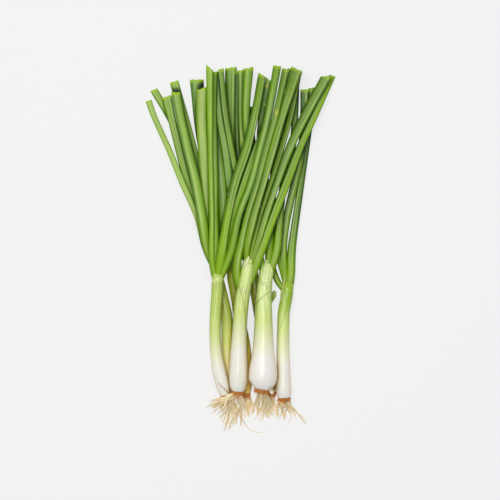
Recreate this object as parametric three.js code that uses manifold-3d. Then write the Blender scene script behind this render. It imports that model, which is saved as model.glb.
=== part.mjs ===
// A bunch of seven spring onions lying in a loose pile: roots towards -Y, cut green leaves towards +Y.
// Millimetres, +Z up. The origin is on the surface that the bunch lies on, under the middle of its box.
import * as THREE from "three";
import { mergeVertices } from "three/addons/utils/BufferGeometryUtils.js";
import Module from "manifold-3d";

const wasm = await Module();
wasm.setup();

// Driving dimensions
const PILE_GAP = 0.5; // air left where one plant lies on another
const REST_FLAT = 0.35; // how far a shaft on the surface is pressed flat
const SOCKET_GAP = 0.35; // air between the sheath and the leaves that come out of it
const SOCKET_DEPTH = 6; // how deep the leaves sit in the sheath's mouth
const SHEATH_WALL = 1.0; // thickness of the sheath round its mouth
const COLLAR_RISE = 1.2; // how far above the mouth the leaves' common stem is as thick as the sheath
const STEM_CAP = 1.2; // height of the blunt end of that stem
const STUB_STEPS = 3;
const PLATE_GAP = 0.35; // air between a bulb and the root plate under it
const PLATE_STUB = 3.2; // length of the root plate, which ends in a blunt cone
const LEAF_FLATNESS = 0.6; // thickness of a leaf over its width
const FORK_FLATNESS = 0.95; // the same at its fork
const FORK_STEPS = 4; // number of steps over which a leaf turns flat
const LEAF_STEPS = 14;
const LEAF_SIDES = 8;
const LEAF_POCKET = 5; // depth of the hollow in a cut leaf end
const LEAF_BORE = 0.5; // width of that hollow over the width of the leaf
const LEAF_LENGTH = 190; // a usual length
const GROWN_TOGETHER = 42; // leaves of one plant may run into each other this close to their fork
const SHAFT_SIDES = 12;
const CORE_SIDES = 10;
const ROOT_SIDES = 3;
const ROOT_STEPS = 3;
const ROOT_THICKNESS = 0.75; // half the thickness of a root where it starts
const ROOT_TAPER = 0.55;
const ROOT_RING = 0.75; // how far out the outermost roots start on a plate, over its radius
const SAMPLES_A_STEP = 5;
const SPREAD_STEPS = 2; // a strand starts to rise this many steps before what it crosses

// A leaf is given by x where it crosses these lines of constant y, between its fork and its tip.
const LEAF_LINES = [0, 30, 60, 90, 120];

// Colours
const SHEATH_GREEN = 0xc9dc8a;
const SHEATH_WHITE = 0xeeebd9;
const LEAF_GREEN = 0x7ba548;
const LEAF_BLUE_GREEN = 0x5f8d4b;
const ROOT_CREAM = 0xecd9b4;

function leaf(low, across, tip, widths, slant) {
  return { low, across, tip, widths, slant };
}

// The plants in the order in which they are laid down. A sheath runs from the root end to its mouth, and the
// core, a common stem of the leaves, goes on from there, both as [x, y, radius]. A leaf has its fork, x on
// each of LEAF_LINES, its tip, its widths from fork to tip, and the slant of its cut. A stub is a leaf
// cut off below those lines. A tuft is a number of roots, their lengths, and in degrees their heading, how
// far the outer ones fan out from it and how far they stray.
const PLANTS = [
  {
    name: "onion_1",
    sheath: [
      [4.2, -128.7, 3.6],
      [4, -124, 4.8],
      [4, -112, 5.1],
      [3.2, -90, 5],
      [0.9, -76, 5],
      [-2.3, -63, 5],
      [-5.2, -45, 4.6],
      [-7.6, -32, 4.6],
      [-8.9, -25, 4.6],
    ],
    core: [
      [-9.6, -19, 4.4],
      [-10.1, -13, 3.4],
    ],
    leaves: [
      leaf([[-10.2, -19]], [-14.6, -26.1, -37.8, -49.5, -65.2], [-79.2, 144], [4, 5.5, 5.8], -0.15),
      leaf([[-10.2, -18]], [-13.5, -27, -36.2, -43.5, -51.8], [-61, 151.2], [4, 6.5, 7], 0),
      leaf([[-10.2, -17]], [-12.6, -20.6, -30.2, -34.8, -38.2], [-40.5, 153], [4, 7, 8, 10.8], -0.05),
      leaf([[-10.2, -16]], [-12.4, -15.9, -18.2, -21.4, -24], [-24.8, 154.8], [4, 5, 8, 8, 8, 6, 5], 0),
      leaf([[-9, -20], [-7.8, -12]], [], [-6.3, -2.7], [3, 3.2, 3.2], 0.2),
    ],
    tufts: [{ count: 6, reach: [16, 24], heading: 4, fan: 12, stray: 12 }],
    green: LEAF_BLUE_GREEN,
  },
  {
    name: "onion_2",
    sheath: [
      [26.6, -127.8, 3.6],
      [26, -123, 4.8],
      [23.8, -110, 5.1],
      [19.8, -86, 5],
      [16.4, -63, 5],
      [13.5, -45, 5],
      [11.4, -32, 5],
      [10.3, -24, 5],
    ],
    core: [
      [9.3, -18, 4.8],
      [8.4, -12, 3.6],
    ],
    leaves: [
      leaf([[8.6, -18]], [6.3, 0.9, -4.5, -8.6, -10.1], [-9.9, 163.8], [4, 7, 9], 0.15),
      leaf([[8.6, -18]], [7.2, 3.6, -0.9, -3.6, -4.3], [-4, 160.2], [4, 4.5, 4], 0),
      leaf([[8.6, -17]], [-0.3, -5, -10.6, -14.2, -19.4], [-23.1, 159.3], [4, 6, 7, 7.4, 5.4], 0.3),
      leaf([[8.6, -16]], [2.6, 0.4, -3.6, -9, -14.4], [-18.9, 162], [4, 5, 4.5], 0.2),
      leaf([[8.6, -16]], [7.6, 5.4, 3, 1.4, 0], [-0.9, 161.1], [4, 5.5, 5.5], 0.1),
    ],
    tufts: [{ count: 6, reach: [12, 22], heading: 4, fan: 14, stray: 12 }],
    green: LEAF_BLUE_GREEN,
  },
  {
    name: "onion_3",
    sheath: [
      [37.8, -132.5, 5.6],
      [37.6, -129, 6.6],
      [37.4, -124, 7],
      [37.3, -115, 6.6],
      [37.2, -104, 6.2],
      [36.9, -90, 5.9],
      [37, -72, 5.6],
      [37.8, -54, 5.5],
      [39.3, -46, 5.5],
      [40.6, -39, 5.4],
    ],
    core: [
      [41.2, -32, 5.2],
      [41.3, -26, 4.6],
      [41.2, -21, 3.2],
    ],
    leaves: [
      leaf([[39.6, -38], [30.6, -25.2]], [25.2, 21.2, 16.2, 10.8, 8.4], [9.5, 128.7], [4, 4.6, 4.5], 0),
      leaf([[40.4, -34]], [32.4, 28.8, 21.6, 17, 18.2], [24.4, 153], [4, 6, 6.8, 5], -0.5),
      leaf(
        [[42, -35], [43.4, -24]],
        [44.7, 48.8, 53.3, 57.6, 61.3],
        [63.4, 145.8],
        [6, 6.8, 5.6, 5.4, 6.2],
        0.3,
      ),
      leaf(
        [[40.2, -33], [38.6, -22]],
        [37, 40.6, 47.4, 53.8, 56],
        [56.7, 144],
        [4.5, 5.6, 6.6, 6.4, 7.2],
        0.1,
      ),
    ],
    tufts: [{ count: 7, reach: [14, 26], heading: 16, fan: 16, stray: 14 }],
    green: LEAF_BLUE_GREEN,
  },
  {
    name: "onion_4",
    sheath: [
      [-9.6, -128.7, 3.6],
      [-9.9, -124, 5],
      [-10.8, -115, 5.6],
      [-12.6, -99, 5.4],
      [-13.2, -81, 5.4],
      [-13.5, -63, 5.4],
      [-16.4, -46, 5],
      [-19.7, -32, 4.8],
      [-22, -24, 4.8],
    ],
    core: [
      [-23.8, -18.5, 4.7],
      [-25.4, -12.5, 4.2],
      [-26.8, -7.5, 3],
    ],
    leaves: [
      leaf([[-25, -16]], [-30.6, -38.7, -48.6, -56.3, -63.5], [-67.5, 137.7], [4, 6, 7.2], 0.05),
      leaf([[-25, -16]], [-32.4, -40.4, -53.2, -65.4, -78.9], [-83.9, 134.1], [4, 5, 4.6], -0.05),
      leaf([[-25, -15]], [-28.8, -30.8, -32.4, -34.5, -35.8], [-35.1, 144.9], [4.5, 6.5, 9, 9], 0.4),
      leaf([[-25, -15]], [-30.6, -35.6, -41, -48.4, -55.4], [-59.4, 141.3], [4.5, 7.6, 7.8, 6.6], -0.25),
    ],
    tufts: [{ count: 6, reach: [10, 18], heading: -8, fan: 14, stray: 14 }],
    green: LEAF_GREEN,
  },
  {
    name: "onion_5",
    sheath: [
      [17.6, -124.5, 6.4],
      [18, -122, 9],
      [18.5, -118, 11.6],
      [18.6, -112.5, 12.7],
      [18.8, -107, 12.5],
      [18.9, -101, 11.6],
      [19, -95, 10.4],
      [19.2, -88, 9.5],
      [19.2, -78, 8.8],
      [19.2, -66, 8.2],
      [19.4, -52, 7.5],
      [19.7, -40, 6.8],
      [20.6, -29, 6.6],
    ],
    core: [
      [21.6, -22, 6.6],
      [23.2, -15, 5.9],
      [24.4, -9, 4.2],
    ],
    leaves: [
      leaf([[20.8, -24]], [14.6, 13.3, 10.4, 6, 3.7], [5.9, 162.9], [5, 6, 5.4, 7.4], 0.25),
      leaf([[23.4, -18]], [24.6, 26, 28, 32.2, 38.6], [43.7, 162.9], [4, 6.6, 6.4, 4.4], 0),
      leaf([[24, -22], [27.8, -11]], [31, 34.2, 37.4, 45, 47.7], [48.8, 153], [6, 5.8, 6, 5], 0.1),
      leaf([[23, -16]], [], [23.4, 4.5], [4, 4.5, 4.5], 0.1),
    ],
    stubs: [leaf([[22.8, -49]], [], [30, -37.4], [4.4, 5, 5.2], -0.3)],
    tufts: [{ count: 12, reach: [20, 27], heading: 0, fan: 24, stray: 8 }],
    green: LEAF_GREEN,
  },
  {
    name: "onion_6",
    sheath: [
      [-15.3, -130, 4],
      [-16.2, -126, 5.2],
      [-18.4, -117, 6.1],
      [-20.7, -108, 6.1],
      [-22.4, -98, 5.6],
      [-23.5, -88, 5.3],
      [-24, -72, 5.1],
      [-23.4, -54, 5.2],
      [-22.2, -38, 5.3],
      [-21.8, -29, 5.4],
    ],
    core: [
      [-21.5, -24, 5.4],
      [-21.2, -18, 4.8],
      [-21.2, -13, 3.2],
    ],
    leaves: [
      leaf([[-21.9, -20]], [-23.4, -23.9, -23.8, -24.6, -25.4], [-25.2, 159.3], [5.4, 5.2, 4.8, 5], 0),
      leaf(
        [[-20.4, -26], [-17.6, -17]],
        [-13.6, -7.4, 2.8, 13.3, 23.2],
        [32, 154.8],
        [4.2, 4.4, 7, 6.4, 2.6],
        0,
      ),
      leaf([[-20, -27], [-15.8, -17]], [-9.2, -2.8, 8.3, 16.2, 23.6], [31.7, 164.7], [4.6, 6, 6, 6.2], 0),
      leaf(
        [[-21.4, -26], [-20.2, -17]],
        [-17.7, -12.6, -6, 4.2, 11.4],
        [18.2, 157.1],
        [6, 7, 7, 6.8, 8, 6.6, 6.4],
        -0.4,
      ),
      leaf(
        [[-23.2, -27], [-25.8, -17]],
        [-27, -26.9, -27.6, -28.2, -28.6],
        [-28.8, 162.8],
        [5, 4.2, 4.4, 5.4],
        -0.85,
      ),
    ],
    tufts: [{ count: 7, reach: [9, 17], heading: -24, fan: 16, stray: 14 }],
    green: LEAF_GREEN,
  },
  {
    name: "onion_7",
    sheath: [
      [-4, -126.5, 5.2],
      [-3.8, -124, 6.6],
      [-3.6, -119, 7.8],
      [-3.3, -111, 8.4],
      [-3.2, -102, 8],
      [-3, -92, 7.4],
      [-2.6, -81, 6.7],
      [-2, -70, 6.4],
      [-1, -54, 6.5],
      [0.4, -42, 6.4],
      [2.2, -33, 6.3],
    ],
    core: [
      [3.6, -25, 5.9],
      [4.9, -17, 5.7],
      [5.6, -10.5, 4.7],
      [5.9, -5.5, 3],
    ],
    leaves: [
      leaf(
        [[0.8, -38], [-3.4, -29], [-4.5, -19], [-3.8, -9]],
        [-2, 4.8, 14, 21.9, 30.3],
        [39.5, 162.5],
        [4.4, 4.8, 5, 5.6, 5.6],
        0,
      ),
      leaf([[6.8, -15]], [8.9, 16.2, 25.8, 35.2, 43.5], [50.6, 158], [4.2, 4, 4.6, 4.8], 0),
      leaf(
        [[5.2, -15]],
        [4.3, 10.6, 19.4, 27.8, 36.3],
        [49.4, 162],
        [4.4, 4.6, 6.2, 5.8, 6.2, 6.6, 9.2],
        -0.15,
      ),
      leaf(
        [[6.8, -30], [11, -18], [13.4, -9]],
        [17.3, 28.4, 40.1, 51.3, 65],
        [81.3, 156.6],
        [4.4, 6.6, 7, 6.2, 5],
        0.15,
      ),
      leaf([[7.4, -15]], [12.8, 21.4, 31.4, 42.3, 56.5], [75.8, 155.7], [4, 5, 5.4, 7.8, 7.4], 0.6),
    ],
    tufts: [
      { count: 5, reach: [22, 33], heading: -58, fan: 6, stray: 10 },
      { count: 11, reach: [24, 39], heading: -2, fan: 24, stray: 8 },
    ],
    green: LEAF_GREEN,
  },
];

// A repeatable draw of numbers from 0 to 1
function seededDraw(seed) {
  let state = seed;
  return () => {
    state = (Math.imul(state, 1664525) + 1013904223) >>> 0;
    return state / 4294967296;
  };
}

function mix(a, b, share) {
  return a + (b - a) * share;
}

// A strand is a row of knots, each with its place in plan, its height and its half width and half thickness.
function knotsOf(points, flatness) {
  return points.map((p) => ({ x: p.x, y: p.y, z: 0, across: p.z, thick: p.z * flatness }));
}

function smoothStrand(rows, steps, flatness) {
  const curve = new THREE.CatmullRomCurve3(rows.map((row) => new THREE.Vector3(...row)));
  return knotsOf(curve.getSpacedPoints(steps), flatness);
}

function between(a, b, share) {
  const point = {};
  for (const key of ["x", "y", "z", "across", "thick"]) point[key] = mix(a[key], b[key], share);
  return point;
}

// How high the middle of a sample has to be to clear one step of a strand that already lies there
function clearHeight(sample, step) {
  const [a, b] = step;
  const [dx, dy] = [b.x - a.x, b.y - a.y];
  const along = ((sample.x - a.x) * dx + (sample.y - a.y) * dy) / (dx * dx + dy * dy || 1);
  const under = between(a, b, Math.min(1, Math.max(0, along)));
  const reach = sample.across + under.across + PILE_GAP;
  const apart = Math.hypot(sample.x - under.x, sample.y - under.y) / reach;
  if (apart >= 1) return 0;
  return under.z + (sample.thick + under.thick + PILE_GAP) * Math.sqrt(1 - apart * apart);
}

// The height that each knot needs for its strand to clear the pile for some steps on both sides of it
function heightsNeeded(knots, pile, press, spread) {
  const steps = knots.length - 1;
  const perStep = [];
  for (let i = 0; i < steps; i++) {
    let most = 0;
    for (let k = 0; k <= SAMPLES_A_STEP; k++) {
      const sample = between(knots[i], knots[i + 1], k / SAMPLES_A_STEP);
      most = Math.max(most, sample.thick - press);
      for (const step of pile) most = Math.max(most, clearHeight(sample, step));
    }
    perStep.push(most);
  }
  return knots.map((_, i) => Math.max(...perStep.slice(Math.max(0, i - spread), i + spread)));
}

// The tightest line over the heights asked for: straight between the knots that hold it up
function tautHeights(knots, heights) {
  const run = [0];
  for (let i = 1; i < knots.length; i++)
    run.push(run[i - 1] + Math.hypot(knots[i].x - knots[i - 1].x, knots[i].y - knots[i - 1].y));
  const held = [];
  const slope = (i, j) => (heights[j] - heights[i]) / (run[j] - run[i]);
  for (let i = 0; i < knots.length; i++) {
    while (held.length > 1 && slope(held.at(-2), held.at(-1)) <= slope(held.at(-1), i)) held.pop();
    held.push(i);
  }
  return run.map((here, i) => {
    const next = Math.max(1, held.findIndex((h) => h >= i));
    const [from, to] = [held[next - 1], held[next]];
    return mix(heights[from], heights[to], (here - run[from]) / (run[to] - run[from]));
  });
}

function softened(heights) {
  const last = heights.length - 1;
  return heights.map((h, i) => (i === 0 || i === last ? h : (heights[i - 1] + 2 * h + heights[i + 1]) / 4));
}

function stepsOf(knots, from = 0) {
  return knots.slice(1).flatMap((knot, i) => (i >= from ? [[knots[i], knot]] : []));
}

// The widths are spread evenly over a leaf's places, from fork to tip.
function widthAt(widths, share) {
  const place = share * (widths.length - 1);
  const i = Math.min(Math.floor(place), widths.length - 2);
  return mix(widths[i], widths[i + 1], place - i);
}

function leafRows(spec) {
  const stations = spec.across.map((x, i) => [x, LEAF_LINES[i]]);
  const places = [...spec.low, ...stations, spec.tip];
  return places.map(([x, y], i) => [x, y, widthAt(spec.widths, i / (places.length - 1)) / 2]);
}

// Height of a plant's own axis where a leaf forks from it
function axisHeight(axis, y) {
  const i = Math.max(1, axis.findIndex((knot) => knot.y >= y));
  const [a, b] = [axis[i - 1], axis[i]];
  return mix(a.z, b.z, Math.min(1, (y - a.y) / (b.y - a.y)));
}

function stepCount(spec) {
  return spec.across.length ? LEAF_STEPS : STUB_STEPS;
}

// A leaf is nearly round at its fork and turns flat within its first steps.
function leafKnots(spec) {
  const knots = smoothStrand(leafRows(spec), stepCount(spec), 1);
  knots.forEach((knot, i) => {
    knot.thick = knot.across * mix(FORK_FLATNESS, LEAF_FLATNESS, Math.min(1, i / FORK_STEPS));
  });
  return knots;
}

// Lays one plant's shaft and leaves on the pile, as high as the strands under them ask for
function layPlant(plant, pile) {
  const axis = knotsOf([...plant.sheath, ...plant.core].map((row) => new THREE.Vector3(...row)), 1);
  const leaves = [...plant.leaves, ...(plant.stubs ?? [])].map((spec) => ({ spec, knots: leafKnots(spec) }));
  const needed = heightsNeeded(axis, pile, REST_FLAT, SPREAD_STEPS);
  const forks = leaves.map(({ knots }) => heightsNeeded(knots, pile, 0, SPREAD_STEPS)[0]);
  needed[needed.length - 1] = Math.max(needed.at(-1), ...forks);
  tautHeights(axis, needed).forEach((z, i) => (axis[i].z = z));
  const own = [];
  for (const { spec, knots } of leaves) {
    const free = Math.round((GROWN_TOGETHER / LEAF_LENGTH) * LEAF_STEPS);
    const outer = heightsNeeded(knots, [...pile, ...own], 0, SPREAD_STEPS);
    const inner = heightsNeeded(knots, pile, 0, SPREAD_STEPS);
    const heights = knots.map((_, i) => (i < free ? inner[i] : outer[i]));
    heights[0] = axisHeight(axis, knots[0].y);
    softened(tautHeights(knots, heights)).forEach((z, i) => (knots[i].z = z));
    own.push(...stepsOf(knots, free));
  }
  return { plant, axis, leaves };
}

// A root starts in the plate, hangs down from it and lies on the surface or on what is there
function layRoot(start, heading, length, draw, pile) {
  const rows = [];
  const sway = (draw() - 0.5) * 0.22 * length;
  for (let i = 0; i <= 3; i++) {
    const share = i / 3;
    const off = Math.sin(share * Math.PI * 1.6) * sway;
    const [ahead, aside] = [Math.cos(heading), Math.sin(heading)];
    rows.push([
      start.x + (aside * share * length + ahead * off),
      start.y - (ahead * share * length - aside * off),
      ROOT_THICKNESS * mix(1, ROOT_TAPER, share),
    ]);
  }
  const knots = smoothStrand(rows, ROOT_STEPS, 1);
  const needed = heightsNeeded(knots, pile, 0, 1);
  knots.forEach((knot, i) => {
    const hang = start.z * (1 - i / ROOT_STEPS) ** 1.6;
    knot.z = i === 0 ? start.z : Math.max(needed[i], hang);
  });
  return knots;
}

function layRoots(plant, axis, pile, seed) {
  const draw = seededDraw(seed);
  const [base, next] = axis;
  const size = Math.hypot(base.x - next.x, base.y - next.y);
  const out = { x: (base.x - next.x) / size, y: (base.y - next.y) / size };
  const roots = [];
  for (const tuft of plant.tufts) {
    for (let i = 0; i < tuft.count; i++) {
      const turn = draw() * Math.PI * 2;
      const outward = Math.sqrt(draw());
      const off = base.across * ROOT_RING * outward;
      const start = {
        x: base.x + out.x * PLATE_STUB * 0.5 + Math.cos(turn) * off * -out.y,
        y: base.y + out.y * PLATE_STUB * 0.5 + Math.cos(turn) * off * out.x,
        z: base.z + Math.sin(turn) * off,
      };
      const lean = Math.cos(turn) * outward * tuft.fan + (draw() * 2 - 1) * tuft.stray;
      const heading = THREE.MathUtils.degToRad(tuft.heading + lean);
      roots.push(layRoot(start, heading, mix(...tuft.reach, draw()), draw, pile));
    }
  }
  return roots;
}

// Lays the whole bunch down, one plant after the other
function layBunch() {
  const pile = [];
  return PLANTS.map((plant, i) => {
    const laid = layPlant(plant, pile);
    laid.roots = layRoots(plant, laid.axis, pile, 11 + i);
    pile.push(...stepsOf(laid.axis));
    for (const { knots } of laid.leaves) pile.push(...stepsOf(knots));
    for (const root of laid.roots) pile.push(...stepsOf(root));
    return laid;
  });
}

// Place, direction and size of a strand at a point counted in knots
function strandAt(knots, place) {
  const i = Math.min(Math.floor(place), knots.length - 2);
  const here = between(knots[i], knots[i + 1], place - i);
  const before = knots[Math.max(0, Math.ceil(place) - 1)];
  const after = knots[Math.min(knots.length - 1, Math.floor(place) + 1)];
  const size = Math.hypot(after.x - before.x, after.y - before.y);
  return { ...here, ahead: [(after.x - before.x) / size, (after.y - before.y) / size] };
}

// A lathe form bent along a strand. Each profile row is [share of the half width, place in knots].
function bentLathe(knots, profile, sides, slant = 0, fatter = 0) {
  const rows = profile.map(([share, place]) => new THREE.Vector2(share, place));
  const geometry = new THREE.LatheGeometry(rows, sides);
  const position = geometry.getAttribute("position");
  const end = knots.length - 1;
  for (let i = 0; i < position.count; i++) {
    const place = Math.min(end, Math.max(0, position.getY(i)));
    const at = strandAt(knots, place);
    const aside = position.getX(i) * (at.across + fatter);
    const cut = place === end ? slant * aside : 0;
    const beyond = position.getY(i) - place;
    const [ax, ay] = at.ahead;
    position.setXYZ(
      i,
      at.x + ay * aside + ax * (cut + beyond),
      at.y - ax * aside + ay * (cut + beyond),
      at.z + position.getZ(i) * (at.thick + fatter),
    );
  }
  return geometry;
}

// A closed geometry as a solid, without the flat triangles that a lathe has on its axis
function solidOf(geometry) {
  geometry.deleteAttribute("normal");
  geometry.deleteAttribute("uv");
  const merged = mergeVertices(geometry, 1e-4);
  const index = [...merged.index.array];
  const triVerts = [];
  for (let i = 0; i < index.length; i += 3) {
    const [a, b, c] = index.slice(i, i + 3);
    if (a !== b && b !== c && a !== c) triVerts.push(a, b, c);
  }
  const vertProperties = merged.getAttribute("position").array;
  return new wasm.Manifold(
    new wasm.Mesh({ numProp: 3, vertProperties, triVerts: new Uint32Array(triVerts) }),
  );
}

function fused(solids) {
  return solids.reduce((sum, solid) => sum.add(solid));
}

function largestBody(solid) {
  return solid.decompose().reduce((best, body) => (body.volume() > best.volume() ? body : best));
}

function outerProfile(last) {
  return Array.from({ length: last + 1 }, (_, i) => [1, i]);
}

function leafSolid({ knots, spec }, fatter = 0) {
  const last = knots.length - 1;
  const floor = last - Math.min(0.9, LEAF_POCKET / stepLength(knots[last - 1], knots[last]));
  const profile = [[0, 0], ...outerProfile(last), [LEAF_BORE, last], [LEAF_BORE * 0.9, floor], [0, floor]];
  return solidOf(bentLathe(knots, profile, LEAF_SIDES, spec.slant, fatter));
}

function stepLength(a, b) {
  return Math.hypot(b.x - a.x, b.y - a.y);
}

// The common stem of the leaves, which sits in the sheath's mouth and widens to the sheath's size above it
function coreSolid(axis, mouth, fatter = 0) {
  const [below, rim, next] = axis.slice(mouth - 1, mouth + 2);
  const inner = rim.across - SHEATH_WALL - SOCKET_GAP;
  const foot = between(rim, below, SOCKET_DEPTH / stepLength(below, rim));
  const collar = between(rim, next, COLLAR_RISE / stepLength(rim, next));
  const seated = [foot, rim].map((knot) => ({ ...knot, across: inner, thick: inner }));
  const knots = [...seated, collar, ...axis.slice(mouth + 1)];
  const last = knots.length - 1;
  const top = last + STEM_CAP;
  const profile = [[0, -fatter], [1, -fatter], ...outerProfile(last).slice(1), [0.5, top], [0, top]];
  return solidOf(bentLathe(knots, profile, CORE_SIDES, 0, fatter));
}

function sheathSolid(axis, mouth, stubs) {
  const profile = [[0, 0], ...outerProfile(mouth), [0, mouth]];
  const tube = solidOf(bentLathe(axis.slice(0, mouth + 1), profile, SHAFT_SIDES));
  return fused([tube, ...stubs.map((strand) => leafSolid(strand))]);
}

function rootSolid(knots) {
  const last = knots.length - 1;
  return solidOf(bentLathe(knots, [[0, 0], ...outerProfile(last), [0, last]], ROOT_SIDES));
}

function plateSolid(axis) {
  const [base, next] = axis;
  const size = Math.hypot(base.x - next.x, base.y - next.y);
  const out = { x: (base.x - next.x) / size, y: (base.y - next.y) / size };
  const ring = (far, share) => ({
    x: base.x + out.x * far,
    y: base.y + out.y * far,
    z: base.z,
    across: base.across * share,
    thick: base.across * share,
  });
  const knots = [ring(PLATE_GAP + PLATE_STUB, 0.5), ring(PLATE_GAP + 1.4, 0.95), ring(PLATE_GAP, 0.9)];
  return solidOf(bentLathe(knots, [[0, 0], ...outerProfile(2), [0, 2]], CORE_SIDES));
}

function belowSurface() {
  const depth = 20;
  const geometry = new THREE.BoxGeometry(400, 600, depth);
  geometry.translate(0, 0, -depth / 2);
  return solidOf(geometry);
}

function meshOf(name, solid, color, roughness) {
  const made = solid.getMesh();
  const geometry = new THREE.BufferGeometry();
  geometry.setAttribute("position", new THREE.BufferAttribute(new Float32Array(made.vertProperties), 3));
  geometry.setIndex(new THREE.BufferAttribute(new Uint32Array(made.triVerts), 1));
  geometry.computeVertexNormals();
  const material = new THREE.MeshStandardMaterial({ color, roughness, metalness: 0 });
  const mesh = new THREE.Mesh(geometry, material);
  mesh.name = name;
  return mesh;
}

function plantMeshes({ plant, axis, leaves, roots }) {
  const mouth = plant.sheath.length - 1;
  const stubs = leaves.slice(plant.leaves.length);
  const grown = leaves.slice(0, plant.leaves.length);
  const socket = fused([
    coreSolid(axis, mouth, SOCKET_GAP),
    ...grown.map((strand) => leafSolid(strand, SOCKET_GAP)),
  ]);
  const sheath = largestBody(sheathSolid(axis, mouth, stubs).subtract(socket).subtract(belowSurface()));
  const stems = fused([coreSolid(axis, mouth), ...grown.map((strand) => leafSolid(strand))]);
  const blades = stems.subtract(belowSurface());
  const tuft = largestBody(fused([plateSolid(axis), ...roots.map(rootSolid)]));
  const sheathColor = plant.green === LEAF_GREEN ? SHEATH_WHITE : SHEATH_GREEN;
  return [
    meshOf(plant.name + "_shaft", sheath, sheathColor, 0.35),
    meshOf(plant.name + "_leaves", blades, plant.green, 0.45),
    meshOf(plant.name + "_roots", tuft, ROOT_CREAM, 0.8),
  ];
}

const bunch = new THREE.Group();
for (const laid of layBunch()) bunch.add(...plantMeshes(laid));

// The origin goes under the middle of the bunch's box.
const box = new THREE.Box3().setFromObject(bunch);
const middle = box.getCenter(new THREE.Vector3());
bunch.position.set(-middle.x, -middle.y, -box.min.z);

export default bunch;
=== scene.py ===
import math
from typing import NamedTuple

import bpy
import numpy as np
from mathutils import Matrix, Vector


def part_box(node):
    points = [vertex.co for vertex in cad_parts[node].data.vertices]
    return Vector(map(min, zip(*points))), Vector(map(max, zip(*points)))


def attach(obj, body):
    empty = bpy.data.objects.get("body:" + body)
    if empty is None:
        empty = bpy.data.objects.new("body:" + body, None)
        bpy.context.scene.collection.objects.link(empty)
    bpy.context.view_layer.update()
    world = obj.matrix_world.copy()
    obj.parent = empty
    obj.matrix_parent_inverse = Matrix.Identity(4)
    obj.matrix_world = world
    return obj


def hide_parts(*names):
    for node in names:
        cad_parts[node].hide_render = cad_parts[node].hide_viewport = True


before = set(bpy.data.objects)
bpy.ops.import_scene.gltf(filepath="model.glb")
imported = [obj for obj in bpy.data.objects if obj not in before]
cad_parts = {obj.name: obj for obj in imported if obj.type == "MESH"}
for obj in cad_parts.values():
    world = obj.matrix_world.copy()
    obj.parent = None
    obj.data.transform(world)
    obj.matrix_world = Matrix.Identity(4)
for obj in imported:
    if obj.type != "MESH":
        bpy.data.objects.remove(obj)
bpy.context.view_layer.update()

# A bunch of seven spring onions in a loose pile. The plan below is in millimetres, as the solids are, and the
# pile is worked out by the same rule. Pieces are made in metres, moved by the same amount as the solids.
MM = 0.001
PILE_GAP = 0.5  # air between strands that lie on each other
PILE_SEED = 11
REST_FLAT = 0.35  # how far the lowest strands are flattened by the surface
LEAF_FLATNESS = 0.6
FORK_FLATNESS = 0.95
FORK_STEPS = 4
LEAF_STEPS = 14
STUB_STEPS = 3
LEAF_LENGTH = 190
GROWN_TOGETHER = 42
ROOT_STEPS = 3
ROOT_SAG = 1.6
STRAY_STEPS = 8
ROOT_THICKNESS = 0.75
ROOT_TAPER = 0.55
ROOT_OUTWARD = 0.75
PLATE_GAP = 0.35
PLATE_STUB = 3.2
SAMPLES_A_STEP = 5
CURVE_SAMPLES = 201
SPREAD_STEPS = 2
LEAF_LINES = (0, 30, 60, 90, 120)  # y of the lines that a leaf's course is given on

# Fineness of the meshes
LEAF_ROWS = 110
STUB_ROWS = 30
LEAF_RING = 48
SHAFT_ROWS = 170
SHAFT_RING = 96
CORE_ROWS = 40
ROOT_ROWS = 18
ROOT_RING = 7
SKIN_ROWS = 24
SKIN_RING = 16
PLATE_RING = 56

# The first seed of each kind of piece
SEEDS = {"shaft": 40, "plate": 60, "roots": 70, "fringe": 80, "leaf": 100, "stub": 190, "stray": 300,
         "skin": 400}


class Leaf(NamedTuple):
    """One leaf: its place as in the solids, then how it looks."""

    low: list  # places at its foot
    across: list  # its x on each of the leaf lines
    tip: tuple
    widths: tuple
    slant: float
    tone: str = "mid"
    fold: float = None  # where its crease is, from -1 to 1 across it
    blue: float = 0.0  # share of blue bloom
    flecks: tuple = ()  # how far along, aside, size
    bands: tuple = ()  # colour, aside, half width, start, end, share
    swell: float = 0.18  # how much wider it is at its fork


class Plant(NamedTuple):
    """One plant, from its root end. Its sheath and core are rows of x, y and half width."""

    name: str
    sheath: list
    core: list
    leaves: list
    tufts: list  # roots: count, reach, heading, fan, stray
    top: tuple  # the sheath's colour near the leaves
    white_at: float  # where the white ends
    cast: tuple = (1, 1, 1)  # the tint of the painted shade that it lies in, or painted light where above 1
    stubs: tuple = ()  # cut leaves that belong to the shaft
    marks: tuple = ()  # lines on the sheath: colour, share, half width, places
    skins: tuple = ()  # scraps of skin: places, widths, colour
    strays: tuple = ()  # long roots: places, radius, whether brown
    tongue: float = 0.0  # how round the stem stays above the sheath


VEIN = (150, 188, 60)  # the colour of a fine line on a sheath

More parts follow.
